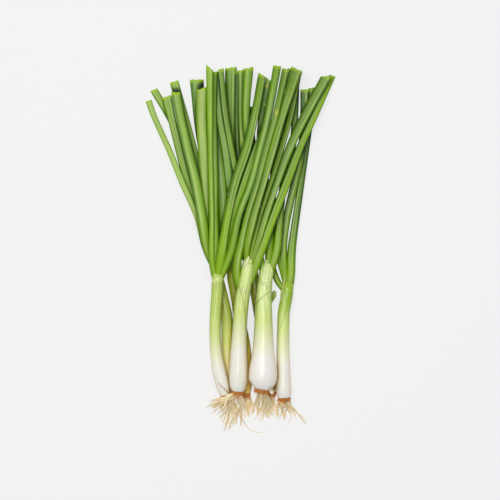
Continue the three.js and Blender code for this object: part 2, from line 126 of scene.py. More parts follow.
ONION_1 = Plant(
    name="onion_1",
    sheath=[(4.2, -128.7, 3.6), (4, -124, 4.8), (4, -112, 5.1), (3.2, -90, 5), (0.9, -76, 5), (-2.3, -63, 5),
            (-5.2, -45, 4.6), (-7.6, -32, 4.6), (-8.9, -25, 4.6)],
    core=[(-9.6, -19, 4.4), (-10.1, -13, 3.4)],
    leaves=[
        Leaf([(-10.2, -19)], [-14.6, -26.1, -37.8, -49.5, -65.2], (-79.2, 144), (4, 5.5, 5.8), -0.15, "soft",
             -0.3, 0.2),
        Leaf([(-10.2, -18)], [-13.5, -27, -36.2, -43.5, -51.8], (-61, 151.2), (4, 6.5, 7), 0, "soft", 0.3,
             0.2),
        Leaf([(-10.2, -17)], [-12.6, -20.6, -30.2, -34.8, -38.2], (-40.5, 153), (4, 7, 8, 10.8), -0.05, "mid",
             -0.35, 0.7),
        Leaf([(-10.2, -16)], [-12.4, -15.9, -18.2, -21.4, -24], (-24.8, 154.8), (4, 5, 8, 8, 8, 6, 5), 0,
             "dark", None, 0.2),
        Leaf([(-9, -20), (-7.8, -12)], [], (-6.3, -2.7), (3, 3.2, 3.2), 0.2, "dried"),
    ],
    tufts=[(6, (16, 24), 4, 12, 12)],
    cast=(0.85, 0.68, 0.2),
    top=(150, 176, 70),
    white_at=-106,
)

ONION_2 = Plant(
    name="onion_2",
    sheath=[(26.6, -127.8, 3.6), (26, -123, 4.8), (23.8, -110, 5.1), (19.8, -86, 5), (16.4, -63, 5),
            (13.5, -45, 5), (11.4, -32, 5), (10.3, -24, 5)],
    core=[(9.3, -18, 4.8), (8.4, -12, 3.6)],
    leaves=[
        Leaf([(8.6, -18)], [6.3, 0.9, -4.5, -8.6, -10.1], (-9.9, 163.8), (4, 7, 9), 0.15, "mid", 0.3, 0.1),
        Leaf([(8.6, -18)], [7.2, 3.6, -0.9, -3.6, -4.3], (-4, 160.2), (4, 4.5, 4), 0, "dark"),
        Leaf([(8.6, -17)], [-0.3, -5, -10.6, -14.2, -19.4], (-23.1, 159.3), (4, 6, 7, 7.4, 5.4), 0.3, "blue",
             None, 1),
        Leaf([(8.6, -16)], [2.6, 0.4, -3.6, -9, -14.4], (-18.9, 162), (4, 5, 4.5), 0.2, "mid", -0.5, 0.2),
        Leaf([(8.6, -16)], [7.6, 5.4, 3, 1.4, 0], (-0.9, 161.1), (4, 5.5, 5.5), 0.1, "mid", -0.3, 0.3),
    ],
    tufts=[(6, (12, 22), 4, 14, 12)],
    cast=(0.75, 0.62, 0.3),
    top=(150, 176, 70),
    white_at=-110,
)

ONION_3 = Plant(
    name="onion_3",
    sheath=[(37.8, -132.5, 5.6), (37.6, -129, 6.6), (37.4, -124, 7), (37.3, -115, 6.6), (37.2, -104, 6.2),
            (36.9, -90, 5.9), (37, -72, 5.6), (37.8, -54, 5.5), (39.3, -46, 5.5), (40.6, -39, 5.4)],
    core=[(41.2, -32, 5.2), (41.3, -26, 4.6), (41.2, -21, 3.2)],
    leaves=[
        Leaf([(39.6, -38), (30.6, -25.2)], [25.2, 21.2, 16.2, 10.8, 8.4], (9.5, 128.7), (4, 4.6, 4.5), 0,
             "dark"),
        Leaf([(40.4, -34)], [32.4, 28.8, 21.6, 17, 18.2], (24.4, 153), (4, 6, 6.8, 5), -0.5, "blue", None,
             0.9, ((184, -0.4, 1.3), (167.5, 0.3, 1))),
        Leaf([(42, -35), (43.4, -24)], [44.7, 48.8, 53.3, 57.6, 61.3], (63.4, 145.8), (6, 6.8, 5.6, 5.4, 6.2),
             0.3, "deep", -0.4, 0.8),
        Leaf([(40.2, -33), (38.6, -22)], [37, 40.6, 47.4, 53.8, 56], (56.7, 144), (4.5, 5.6, 6.6, 6.4, 7.2),
             0.1, "deep", 0.2, 0.5),
    ],
    tufts=[(7, (14, 26), 16, 16, 14)],
    top=(158, 192, 30),
    marks=[
        ((136, 174, 34), 0.6, 0.45, [(45.4, -38), (41, -50), (37, -62), (34, -70)]),
        ((206, 218, 140), 0.6, 0.8, [(35, -24), (37, -35), (38.2, -48)]),
        ((126, 166, 16), 0.6, 1.2, [(45.5, -34), (43.5, -52), (42.6, -66)]),
    ],
    skins=[([(35.4, -47), (36.4, -35), (38.4, -24)], (2.4, 3, 1.2), (196, 210, 116))],
    strays=[
        ([(31, -134.6), (36, -138), (42.3, -143.6), (49.5, -151.2)], 0.5, False),
        ([(37.5, -139), (43, -146.5), (43.6, -153), (40.5, -159.3)], 0.5, False),
    ],
    white_at=-92,
)

ONION_4 = Plant(
    name="onion_4",
    sheath=[(-9.6, -128.7, 3.6), (-9.9, -124, 5), (-10.8, -115, 5.6), (-12.6, -99, 5.4), (-13.2, -81, 5.4),
            (-13.5, -63, 5.4), (-16.4, -46, 5), (-19.7, -32, 4.8), (-22, -24, 4.8)],
    core=[(-23.8, -18.5, 4.7), (-25.4, -12.5, 4.2), (-26.8, -7.5, 3)],
    leaves=[
        Leaf([(-25, -16)], [-30.6, -38.7, -48.6, -56.3, -63.5], (-67.5, 137.7), (4, 6, 7.2), 0.05, "soft",
             0.3, 0.3),
        Leaf([(-25, -16)], [-32.4, -40.4, -53.2, -65.4, -78.9], (-83.9, 134.1), (4, 5, 4.6), -0.05, "pale",
             0.1, 0.1),
        Leaf([(-25, -15)], [-28.8, -30.8, -32.4, -34.5, -35.8], (-35.1, 144.9), (4.5, 6.5, 9, 9), 0.4,
             "pale"),
        Leaf([(-25, -15)], [-30.6, -35.6, -41, -48.4, -55.4], (-59.4, 141.3), (4.5, 7.6, 7.8, 6.6), -0.25,
             "soft", -0.2, 0.6),
    ],
    tufts=[(6, (10, 18), -8, 14, 14)],
    cast=(0.92, 0.86, 0.66),
    top=(190, 206, 104),
    white_at=-104,
)

ONION_5 = Plant(
    name="onion_5",
    sheath=[(17.6, -124.5, 6.4), (18, -122, 9), (18.5, -118, 11.6), (18.6, -112.5, 12.7), (18.8, -107, 12.5),
            (18.9, -101, 11.6), (19, -95, 10.4), (19.2, -88, 9.5), (19.2, -78, 8.8), (19.2, -66, 8.2),
            (19.4, -52, 7.5), (19.7, -40, 6.8), (20.6, -29, 6.6)],
    core=[(21.6, -22, 6.6), (23.2, -15, 5.9), (24.4, -9, 4.2)],
    leaves=[
        Leaf([(20.8, -24)], [14.6, 13.3, 10.4, 6, 3.7], (5.9, 162.9), (5, 6, 5.4, 7.4), 0.25, "mid", -0.1),
        Leaf([(23.4, -18)], [24.6, 26, 28, 32.2, 38.6], (43.7, 162.9), (4, 6.6, 6.4, 4.4), 0, "dark"),
        Leaf([(24, -22), (27.8, -11)], [31, 34.2, 37.4, 45, 47.7], (48.8, 153), (6, 5.8, 6, 5), 0.1, "dark",
             -0.3, 0.2),
        Leaf([(23, -16)], [], (23.4, 4.5), (4, 4.5, 4.5), 0.1, "fresh"),
    ],
    stubs=[Leaf([(22.8, -49)], [], (30, -37.4), (4.4, 5, 5.2), -0.3, "stub")],
    tufts=[(12, (20, 27), 0, 24, 8)],
    cast=(1.04, 1.03, 1.08),
    top=(240, 250, 182),
    tongue=1.0,
    marks=[
        ((142, 176, 56), 0.6, 0.4, [(15.5, -25.5), (21, -31), (26.1, -34.2)]),
        ((142, 176, 56), 0.5, 0.35, [(15.2, -28), (20.5, -33), (25.5, -36.2)]),
        ((126, 166, 30), 0.85, 0.55, [(12.4, -50), (14.9, -45), (22.5, -38.7), (27, -36.5)]),
        (VEIN, 0.5, 0.4, [(15.5, -18), (18, -35), (22, -60)]),
        (VEIN, 0.55, 0.4, [(18.5, -14), (21, -30), (24.5, -45)]),
        (VEIN, 0.5, 0.4, [(25.5, -12), (24, -25), (25.8, -38)]),
    ],
    skins=[([(16.5, -17), (19.5, -12.5), (23.2, -9.2)], (2.6, 3.6, 1.2), (222, 236, 166)),
           ([(24, -122), (26, -125.5), (27.4, -128.5)], (2, 3.6, 2.4), (240, 228, 200))],
    white_at=-86,
)

ONION_6 = Plant(
    name="onion_6",
    sheath=[(-15.3, -130, 4), (-16.2, -126, 5.2), (-18.4, -117, 6.1), (-20.7, -108, 6.1), (-22.4, -98, 5.6),
            (-23.5, -88, 5.3), (-24, -72, 5.1), (-23.4, -54, 5.2), (-22.2, -38, 5.3), (-21.8, -29, 5.4)],
    core=[(-21.5, -24, 5.4), (-21.2, -18, 4.8), (-21.2, -13, 3.2)],
    leaves=[
        Leaf([(-21.9, -20)], [-23.4, -23.9, -23.8, -24.6, -25.4], (-25.2, 159.3), (5.4, 5.2, 4.8, 5), 0,
             "mid", None, 0.4),
        Leaf([(-20.4, -26), (-17.6, -17)], [-13.6, -7.4, 2.8, 13.3, 23.2], (32, 154.8),
             (4.2, 4.4, 7, 6.4, 2.6), 0, "mid", -0.5, 0.2, (), (((150, 192, 0), 0.25, 0.5, 8, 100, 0.85),)),
        Leaf([(-20, -27), (-15.8, -17)], [-9.2, -2.8, 8.3, 16.2, 23.6], (31.7, 164.7), (4.6, 6, 6, 6.2), 0,
             "mid", None, 0.6),
        Leaf([(-21.4, -26), (-20.2, -17)], [-17.7, -12.6, -6, 4.2, 11.4], (18.2, 157.1),
             (6, 7, 7, 6.8, 8, 6.6, 6.4), -0.4, "mid", 0.5, 0.2, (),
             (((152, 192, 0), 0, 0.8, -20, 78, 0.75),)),
        Leaf([(-23.2, -27), (-25.8, -17)], [-27, -26.9, -27.6, -28.2, -28.6], (-28.8, 162.8),
             (5, 4.2, 4.4, 5.4), -0.85, "fresh", 0.2),
    ],
    tufts=[(7, (9, 17), -24, 16, 14)],
    top=(210, 226, 126),
    marks=[
        ((228, 236, 164), 0.85, 0.7,
         [(-27.5, -26.4), (-25, -29), (-22.6, -26), (-19.6, -28), (-17.2, -25.4)]),
        ((150, 184, 60), 0.5, 0.4, [(-25, -30), (-25.4, -45), (-26, -60)]),
        ((150, 184, 60), 0.5, 0.4, [(-20.4, -29), (-21, -44), (-21.8, -62)]),
    ],
    white_at=-96,
)

ONION_7 = Plant(
    name="onion_7",
    sheath=[(-4, -126.5, 5.2), (-3.8, -124, 6.6), (-3.6, -119, 7.8), (-3.3, -111, 8.4), (-3.2, -102, 8),
            (-3, -92, 7.4), (-2.6, -81, 6.7), (-2, -70, 6.4), (-1, -54, 6.5), (0.4, -42, 6.4),
            (2.2, -33, 6.3)],
    core=[(3.6, -25, 5.9), (4.9, -17, 5.7), (5.6, -10.5, 4.7), (5.9, -5.5, 3)],
    leaves=[
        Leaf([(0.8, -38), (-3.4, -29), (-4.5, -19), (-3.8, -9)], [-2, 4.8, 14, 21.9, 30.3], (39.5, 162.5),
             (4.4, 4.8, 5, 5.6, 5.6), 0, "mid", 0.2, 0.1, ((207, 0.1, 1.3), (166, 0, 1.3)), (), 0.5),
        Leaf([(6.8, -15)], [8.9, 16.2, 25.8, 35.2, 43.5], (50.6, 158), (4.2, 4, 4.6, 4.8), 0, "mid", 0.4),
        Leaf([(5.2, -15)], [4.3, 10.6, 19.4, 27.8, 36.3], (49.4, 162), (4.4, 4.6, 6.2, 5.8, 6.2, 6.6, 9.2),
             -0.15, "mid", 0.35),
        Leaf([(6.8, -30), (11, -18), (13.4, -9)], [17.3, 28.4, 40.1, 51.3, 65], (81.3, 156.6),
             (4.4, 6.6, 7, 6.2, 5), 0.15, "mid", -0.4, 0, (), (((156, 198, 30), 0.4, 0.3, 20, 240, 0.8),)),
        Leaf([(7.4, -15)], [12.8, 21.4, 31.4, 42.3, 56.5], (75.8, 155.7), (4, 5, 5.4, 7.8, 7.4), 0.6, "mid",
             0.3, 0.9),
    ],
    tufts=[(5, (22, 33), -58, 6, 10), (11, (24, 39), -2, 24, 8)],
    top=(238, 250, 170),
    tongue=1.0,
    marks=[
        ((166, 148, 64), 0.65, 0.5, [(-2.7, -31.5), (0, -40.5), (2.7, -52.2), (3.6, -72)]),
        ((130, 162, 44), 0.7, 0.4, [(0, -14.4), (5, -12), (9.9, -12.6)]),
        ((168, 90, 50), 0.85, 0.55, [(9.3, -11.2), (9.8, -11.5)]),
        (VEIN, 0.6, 0.4, [(7.2, -10.8), (3, -22), (0.9, -31.5), (-2.5, -45)]),
        (VEIN, 0.6, 0.4, [(9, -14), (6.5, -26), (3.5, -40), (1.5, -55)]),
        (VEIN, 0.5, 0.4, [(4.5, -9), (1.5, -20), (-1.5, -30)]),
        ((136, 178, 20), 0.7, 1.1, [(13, -16), (10.2, -28), (8.2, -42)]),
    ],
    skins=[([(1.5, -15), (4, -9.5), (6.4, -5.6)], (3, 4, 1.4), (222, 234, 160))],
    strays=[
        ([(-2, -148), (4, -158), (7.2, -161.1), (15.8, -164.3), (24.3, -161.1)], 0.45, False),
        ([(-11, -128.6), (-15.3, -124.5), (-18.6, -120.5), (-20.7, -117.9)], 0.4, True),
    ],
    white_at=-80,
)
PLANTS = [ONION_1, ONION_2, ONION_3, ONION_4, ONION_5, ONION_6, ONION_7]


# Placing the pile, by the same rule as the solids


def seeded_draw(seed):
    state = seed

    def draw():
        nonlocal state
        state = (state * 1664525 + 1013904223) & 0xFFFFFFFF
        return state / 4294967296

    return draw


def draws(draw, count):
    return np.array([draw() for _ in range(count)])


def phase(draw):
    """Where a wave begins, in radians."""
    return draw() * 6


def mix(a, b, share):
    return a + (b - a) * share


def run_of(points):
    """How far along each point is, measured straight from one to the next."""
    return np.concatenate([[0], np.cumsum(np.linalg.norm(np.diff(points, axis=0), axis=1))])


def catmull_rom(points, t):
    """The centripetal curve through the points, at t from 0 to 1."""
    last = len(points) - 1
    place = last * t
    i = min(int(place), last - 1)
    weight = place - i
    p1, p2 = points[i], points[i + 1]
    p0 = points[i - 1] if i > 0 else 2 * points[0] - points[1]
    p3 = points[i + 2] if i + 2 <= last else 2 * points[-1] - points[-2]
    d0, d1, d2 = (((q - p) @ (q - p)) ** 0.25 for p, q in ((p0, p1), (p1, p2), (p2, p3)))
    d1 = d1 if d1 > 1e-4 else 1.0
    d0 = d0 if d0 > 1e-4 else d1
    d2 = d2 if d2 > 1e-4 else d1
    m1 = ((p1 - p0) / d0 - (p2 - p0) / (d0 + d1) + (p2 - p1) / d1) * d1
    m2 = ((p2 - p1) / d1 - (p3 - p1) / (d1 + d2) + (p3 - p2) / d2) * d1
    c2 = 3 * (p2 - p1) - 2 * m1 - m2
    c3 = 2 * (p1 - p2) + m1 + m2
    return p1 + weight * (m1 + weight * (c2 + weight * c3))


def smooth_strand(rows, steps):
    """Evenly spaced knots [x, y, z, half width, half thickness] along the curve through the rows."""
    points = [np.array(row, float) for row in rows]
    dense = np.array([catmull_rom(points, t) for t in np.linspace(0, 1, CURVE_SAMPLES)])
    run = run_of(dense)
    where = np.interp(np.linspace(0, run[-1], steps + 1), run, np.linspace(0, 1, CURVE_SAMPLES))
    return knots_of([catmull_rom(points, t) for t in where])


def knots_of(rows):
    """Round knots at height 0, from rows of x, y and half width."""
    x, y, half = np.array(rows, float).T
    return np.stack([x, y, np.zeros_like(x), half, half], axis=1)


def heights_needed(knots, pile, press=0, spread=SPREAD_STEPS):
    """The least height of each knot that keeps the strand clear of the pile's steps."""
    share = np.linspace(0, 1, SAMPLES_A_STEP + 1)[None, :, None]
    samples = knots[:-1, None] + (knots[1:, None] - knots[:-1, None]) * share
    most = np.maximum(0, (samples[:, :, 4] - press).max(axis=1))
    if len(pile):
        a, b = pile[:, 0], pile[:, 1]
        run = b[:, :2] - a[:, :2]
        from_a = samples[:, :, None, :2] - a[:, :2]
        along = np.clip((from_a * run).sum(-1) / np.maximum((run * run).sum(-1), 1e-9), 0, 1)
        under = a + (b - a) * along[..., None]
        reach = samples[:, :, None, 3] + under[..., 3] + PILE_GAP
        apart = np.linalg.norm(samples[:, :, None, :2] - under[..., :2], axis=-1) / reach
        lift = (samples[:, :, None, 4] + under[..., 4] + PILE_GAP) * np.sqrt(np.maximum(0, 1 - apart**2))
        height = np.where(apart < 1, under[..., 2] + lift, 0)
        most = np.maximum(most, height.max(axis=(1, 2)))
    return np.array([most[max(0, i - spread) : i + spread].max() for i in range(len(knots))])


def taut_heights(knots, heights):
    run = run_of(knots[:, :2])
    held = []
    for i in range(len(knots)):
        while len(held) > 1:
            a, b = held[-2:]
            if (heights[b] - heights[a]) / (run[b] - run[a]) > (heights[i] - heights[b]) / (run[i] - run[b]):
                break
            held.pop()
        held.append(i)
    return np.interp(run, run[held], np.array(heights)[held])


def softened(heights):
    soft = np.array(heights, float)
    soft[1:-1] = (heights[:-2] + 2 * heights[1:-1] + heights[2:]) / 4
    return soft


def steps_of(knots, start=0):
    return np.stack([knots[start:-1], knots[start + 1 :]], axis=1)


def leaf_rows(spec):
    places = [*spec.low, *zip(spec.across, LEAF_LINES), spec.tip]
    widths = np.interp(np.linspace(0, 1, len(places)), np.linspace(0, 1, len(spec.widths)), spec.widths)
    return [(x, y, width / 2) for (x, y), width in zip(places, widths)]


def axis_height(axis, y):
    i = max(1, int(np.argmax(axis[:, 1] >= y)))
    return mix(axis[i - 1, 2], axis[i, 2], min(1, (y - axis[i - 1, 1]) / (axis[i, 1] - axis[i - 1, 1])))


def leaf_knots(spec):
    knots = smooth_strand(leaf_rows(spec), LEAF_STEPS if spec.across else STUB_STEPS)
    knots[:, 4] *= mix(FORK_FLATNESS, LEAF_FLATNESS, np.minimum(1, np.arange(len(knots)) / FORK_STEPS))
    return knots


def lay_plant(plant, pile):
    axis = knots_of(plant.sheath + plant.core)
    leaves = [leaf_knots(spec) for spec in [*plant.leaves, *plant.stubs]]
    needed = heights_needed(axis, pile, REST_FLAT)
    inners = [heights_needed(knots, pile) for knots in leaves]
    needed[-1] = max(needed[-1], *(inner[0] for inner in inners))
    axis[:, 2] = taut_heights(axis, needed)
    own = np.zeros((0, 2, 5))
    free = round(GROWN_TOGETHER / LEAF_LENGTH * LEAF_STEPS)
    for knots, inner in zip(leaves, inners):
        outer = heights_needed(knots, np.concatenate([pile, own]))
        heights = np.where(np.arange(len(knots)) < free, inner, outer)
        heights[0] = axis_height(axis, knots[0, 1])
        knots[:, 2] = softened(taut_heights(knots, heights))
        own = np.concatenate([own, steps_of(knots, free)])
    return axis, leaves


def lay_root(start, heading, length, draw, pile):
    rows = []
    sway = (draw() - 0.5) * 0.22 * length
    ahead, aside = math.cos(heading), math.sin(heading)
    for i in range(4):
        share = i / 3
        off = math.sin(share * math.pi * 1.6) * sway
        rows.append((start[0] + aside * share * length + ahead * off,
                     start[1] - (ahead * share * length - aside * off),
                     ROOT_THICKNESS * mix(1, ROOT_TAPER, share)))
    knots = smooth_strand(rows, ROOT_STEPS)
    needed = heights_needed(knots, pile, spread=1)
    hang = start[2] * (1 - np.arange(ROOT_STEPS + 1) / ROOT_STEPS) ** ROOT_SAG
    knots[:, 2] = np.maximum(needed, hang)
    knots[0, 2] = start[2]
    return knots


def root_end(axis):
    """Where a plant's root plate is, the direction in plan that it points in, and the one across that."""
    out = axis[0, :2] - axis[1, :2]
    out /= np.linalg.norm(out)
    return axis[0], out, np.array([-out[1], out[0]])


def lay_roots(plant, axis, pile, seed):
    draw = seeded_draw(seed)
    base, out, side = root_end(axis)
    roots = []
    for count, reach, heading, fan, stray in plant.tufts:
        for _ in range(count):
            turn = draw() * math.pi * 2
            outward = math.sqrt(draw())
            off = base[3] * ROOT_OUTWARD * outward
            start = (*(base[:2] + out * PLATE_STUB * 0.5 + math.cos(turn) * off * side),
                     base[2] + math.sin(turn) * off)
            lean = math.cos(turn) * outward * fan + (draw() * 2 - 1) * stray
            angle = math.radians(heading + lean)
            roots.append(lay_root(start, angle, mix(*reach, draw()), draw, pile))
    return roots


def lay_bunch():
    pile = np.zeros((0, 2, 5))
    laid = []
    for i, plant in enumerate(PLANTS):
        axis, leaves = lay_plant(plant, pile)
        roots = lay_roots(plant, axis, pile, PILE_SEED + i)
        pile = np.concatenate([pile, *(steps_of(strand) for strand in [axis, *leaves, *roots])])
        laid.append((plant, axis, leaves, roots))
    return laid


# Strands as smooth rows


def tangents(at, values, limited):
    slope = np.diff(values) / np.diff(at)
    m = np.empty(len(values))
    m[0], m[-1] = slope[0], slope[-1]
    left, right = np.diff(at)[:-1], np.diff(at)[1:]
    m[1:-1] = (slope[:-1] * right + slope[1:] * left) / (left + right)
    if limited:
        m[1:-1][slope[:-1] * slope[1:] <= 0] = 0
        most = 3 * np.minimum(abs(slope[:-1]), abs(slope[1:]))
        m[1:-1] = np.clip(m[1:-1], -most, most)
    return m


def smooth_column(at, values, where, limited):
    i = np.clip(np.searchsorted(at, where, side="right") - 1, 0, len(at) - 2)
    h = at[i + 1] - at[i]
    t = (where - at[i]) / h
    m = tangents(at, values, limited)
    return ((1 + 2 * t) * (1 - t) ** 2 * values[i] + t * (1 - t) ** 2 * h * m[i]
            + t * t * (3 - 2 * t) * values[i + 1] + t * t * (t - 1) * h * m[i + 1])


def fine_strand(knots, count, start=0.0):
    """count rows along the knots, each [x, y, z, half width, half thickness], and how far along each is."""
    run = run_of(knots[:, :2])
    where = np.linspace(start, 1, count) * run[-1]
    columns = [smooth_column(run, knots[:, k], where, k > 1) for k in range(5)]
    return np.stack(columns, axis=1), where


FROM_BELOW = -math.pi / 2  # a section's lowest point


def ring_angles(count, start=0.0):
    """The angles of the points round a section."""
    return start + np.arange(count) / count * 2 * math.pi


def section_points(rows, side, across, z):
    """The section's points on each row: across is how far aside each one is, z how high."""
    xy = rows[:, None, :2] + side[:, None] * across[..., None]
    return np.concatenate([xy, z[..., None]], axis=-1)


def sides_of(rows):
    """The directions across and along a strand on each row, in plan."""
    ahead = np.gradient(rows[:, :2], axis=0)
    ahead /= np.linalg.norm(ahead, axis=1)[:, None]
    return np.stack([ahead[:, 1], -ahead[:, 0]], axis=1), ahead


# Meshes built from rings


def linear(red, green, blue):
    """A colour given as 0 to 255 values on screen, as the linear values that the shaders take."""
    def channel(v):
        v /= 255
        return v / 12.92 if v <= 0.04045 else ((v + 0.055) / 1.055) ** 2.4

    return np.array([channel(red), channel(green), channel(blue)])


class Shape:
    """Gathers rings of points into one mesh with a colour and a grain place at each point."""

    def __init__(self):
        self.points, self.faces, self.tints, self.grains, self.count = [], [], [], [], 0

    def rings(self, points, tints, grains):
        """Adds one closed strand. points is rows by ring by 3, in the plan; tints and grains go with them."""
        rows, ring = points.shape[:2]
        base = self.count
        self.points.append((points.reshape(-1, 3) + SHIFT) * MM)
        self.tints.append(tints.reshape(-1, 3))
        self.grains.append(grains.reshape(-1, 3))
        self.count += rows * ring
        index = base + np.arange(rows * ring).reshape(rows, ring)
        turned = np.roll(index, -1, axis=1)
        quads = np.stack([index[:-1], turned[:-1], turned[1:], index[1:]], axis=-1)
        self.faces += quads.reshape(-1, 4).tolist()
        self.faces += [index[0][::-1].tolist(), index[-1].tolist()]

    def build(self, name, material, replaces=None):
        mesh = bpy.data.meshes.new(name)
        points = np.concatenate(self.points)
        mesh.from_pydata(points.tolist(), [], self.faces)
        tint = mesh.attributes.new("tint", "FLOAT_COLOR", "POINT")
        colours = np.concatenate([np.concatenate(self.tints), np.ones((len(points), 1))], axis=1)
        tint.data.foreach_set("color", colours.astype(np.float32).ravel())
        grain = mesh.attributes.new("grain", "FLOAT_VECTOR", "POINT")
        grain.data.foreach_set("vector", np.concatenate(self.grains).astype(np.float32).ravel())
        mesh.validate()
        mesh.polygons.foreach_set("use_smooth", [True] * len(mesh.polygons))
        mesh.materials.append(material)
        piece = bpy.data.objects.new(name, mesh)
        bpy.context.scene.collection.objects.link(piece)
        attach(piece, "root")
        if replaces:
            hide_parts(replaces)


def ramp(low, high, value):
    t = np.clip((value - low) / (high - low), 0, 1)
    return t * t * (3 - 2 * t)


def blend(a, b, share):
    return a + (b - a) * np.asarray(share)[..., None]


# Shade beside the strands that lie above

COVER_REACH = 2.8  # how far beside a strand its shade reaches, and how far below it the shade is full
COVER_ACROSS = np.linspace(-1, 1, 9)
COVER_BATCH = 400
OWNERS_A_PLANT = 10


def strands_of(laid):
    """Every strand's steps, with the number of its owner, for the shade."""
    steps, owners = [], []
    for number, (_, axis, leaves, _) in enumerate(laid):
        for k, knots in enumerate([axis, *leaves]):
            steps.append(steps_of(knots))
            owners += [number * OWNERS_A_PLANT + k] * len(steps[-1])
    return np.concatenate(steps), np.array(owners)


def cover_shade(points, steps):
    """How dark each point is, from 0 to 1, from the steps that lie over it or close beside it."""
    a, b = steps[:, 0], steps[:, 1]
    run = b[:, :2] - a[:, :2]
    size = np.maximum((run * run).sum(-1), 1e-9)
    dark = np.zeros(len(points))
    for start in range(0, len(points), COVER_BATCH):
        here = points[start : start + COVER_BATCH]
        along = np.clip(((here[:, None, :2] - a[:, :2]) * run).sum(-1) / size, 0, 1)
        over = a + (b - a) * along[..., None]
        beside = np.linalg.norm(here[:, None, :2] - over[..., :2], axis=-1) - over[..., 3]
        above = over[..., 2] - here[:, None, 2]
        shade = (1 - ramp(-0.6, COVER_REACH, beside)) * ramp(0.2, COVER_REACH, above)
        dark[start : start + COVER_BATCH] = shade.max(axis=1)
    return dark


def shade_on(rows, side, owner, u):
    """The shade on each row of a strand, at each place u across it."""
    steps, owners = STRANDS
    up = np.sqrt(1 - COVER_ACROSS**2)
    points = section_points(rows, side, COVER_ACROSS * rows[:, 3:4], rows[:, 2:3] + up * rows[:, 4:5])
    found = cover_shade(points.reshape(-1, 3), steps[owners != owner]).reshape(len(rows), -1)
    return np.array([np.interp(np.clip(u[i], -1, 1), COVER_ACROSS, found[i]) for i in range(len(rows))])


def near_line(points, places, width):
    """1 on a drawn line through places, in plan, down to 0 beside it."""
    places = np.array(places, float)
    least = np.full(points.shape[:-1], 1e9)
    for a, b in zip(places[:-1], places[1:]):
        run = b - a
        along = np.clip(((points[..., :2] - a) @ run) / max(run @ run, 1e-9), 0, 1)
        least = np.minimum(least, np.linalg.norm(points[..., :2] - (a + run * along[..., None]), axis=-1))
    return np.exp(-((least / width) ** 2))


# Leaves

# The dark and deep tones are painted shade, for leaves that lie under others low in the bunch
TONES = {
    "dried": linear(188, 184, 122),
    "stub": linear(190, 208, 100),
    "fresh": linear(130, 170, 8),
    "mid": linear(106, 146, 30),
    "soft": linear(128, 166, 60),
    "pale": linear(164, 192, 96),
    "blue": linear(92, 136, 68),
    "dark": linear(70, 110, 8),
    "deep": linear(58, 98, 20),
}
FORK_LIME = linear(130, 168, 0)
# Painted shade: the darker, more saturated colour of a leaf's sides
SIDE_SHADE_CAST = np.array([0.56, 0.7, 0.12])
BLOOM = linear(120, 156, 108)
# Painted highlight: the pale colour down the middle of a leaf's top, along its crease and in its pale lines
HIGHLIGHT_PALE = linear(188, 212, 124)
STRIPE_LIME = linear(144, 188, 0)
CUT_LIME = linear(174, 214, 20)
INSIDE_GREEN = linear(138, 172, 62)
FLECK_YELLOW = linear(214, 208, 84)
SHADE_CAST = np.array([1.25, 1.05, 2.2])
LEAF_SHADE = 0.95
LEAF_FULLNESS = 1.09  # a leaf's width over the solid's
TIP_PINCH = 0.25  # how much a cut end is pressed flat
LEAF_WALL = 0.55  # the thickness of the wall round an open end
POCKET_DEPTH = 16
STUB_POCKET = 3


def stripe(u, run, place, width, start, end):
    drift = place + 0.08 * np.sin(run * 0.03 + place * 9)
    shown = ramp(start, start + 18, run) * (1 - ramp(end - 22, end, run))
    return np.exp(-(((u - drift) / width) ** 2)) * shown


def leaf_tints(spec, run, length, u, top, draw):
    """Each point's colour: lime at the fork, the leaf's tone above, painted shade on its edges, a painted
    highlight down its middle, and pale and lime lines along it, the pale ones painted highlights.
    """
    tone = TONES[spec.tone]
    low = FORK_LIME if spec.across else tone
    base = blend(low, tone, ramp(8, 60 + 50 * draw(), run))
    wave = 0.06 * np.sin(run * 0.045 + phase(draw)) + 0.04 * np.sin(run * 0.11 + phase(draw))
    tint = base * (0.82 + 0.36 * draw() + wave)[..., None]
    side = 1 if draw() > 0.5 else -1
    patch = ramp(-0.3, 0.5, side * u + 0.4 * np.sin(run * 0.03 + phase(draw)))
    tint = blend(tint, BLOOM, spec.blue * 0.75 * patch * ramp(25, 70, run))
    # Painted highlight down the middle of the top
    tint = blend(tint, HIGHLIGHT_PALE, 0.26 * np.exp(-((u / 0.45) ** 2)) * top)
    # The pale lines are painted highlights; the lime line is the leaf's own colour
    for colour, share in ((HIGHLIGHT_PALE, 0.5), (STRIPE_LIME, 0.7), (HIGHLIGHT_PALE, 0.3)):
        place, start, reach = 1.3 * (draw() - 0.5), 100 * draw() - 20, 60 + 90 * draw()
        line = stripe(u, run, place, 0.13 + 0.1 * draw(), start, start + reach)
        tint = blend(tint, colour, share * line * top)
    for colour, place, width, start, end, share in spec.bands:
        line = stripe(u, run, place, width, start, end) * top
        tint = blend(tint, linear(*colour), share * line)
    # Painted highlight along the crease
    if spec.fold is not None:
        line = stripe(u, run, spec.fold, 0.15, 15, length + 30) * top
        tint = blend(tint, HIGHLIGHT_PALE, 0.75 * line)
    # Painted shade on the leaf's sides, weaker on a stub
    side_shade = ramp(0.5, 0.98, abs(u)) * (0.3 if spec.tone == "stub" else 1)
    tint = tint * blend(np.ones(3), SIDE_SHADE_CAST, side_shade)
    for far, aside, size in spec.flecks:
        spot = np.exp(-(((run - far) / size) ** 2) - ((u - aside) / 0.45) ** 2)
        tint = blend(tint, FLECK_YELLOW, np.clip(1.4 * spot * top, 0, 1))
    return blend(tint, CUT_LIME, 0.95 * ramp(length - 2.6, length - 0.6, run))


def shaded(tint, dark, cast):
    return tint * (1 - dark)[..., None] ** cast


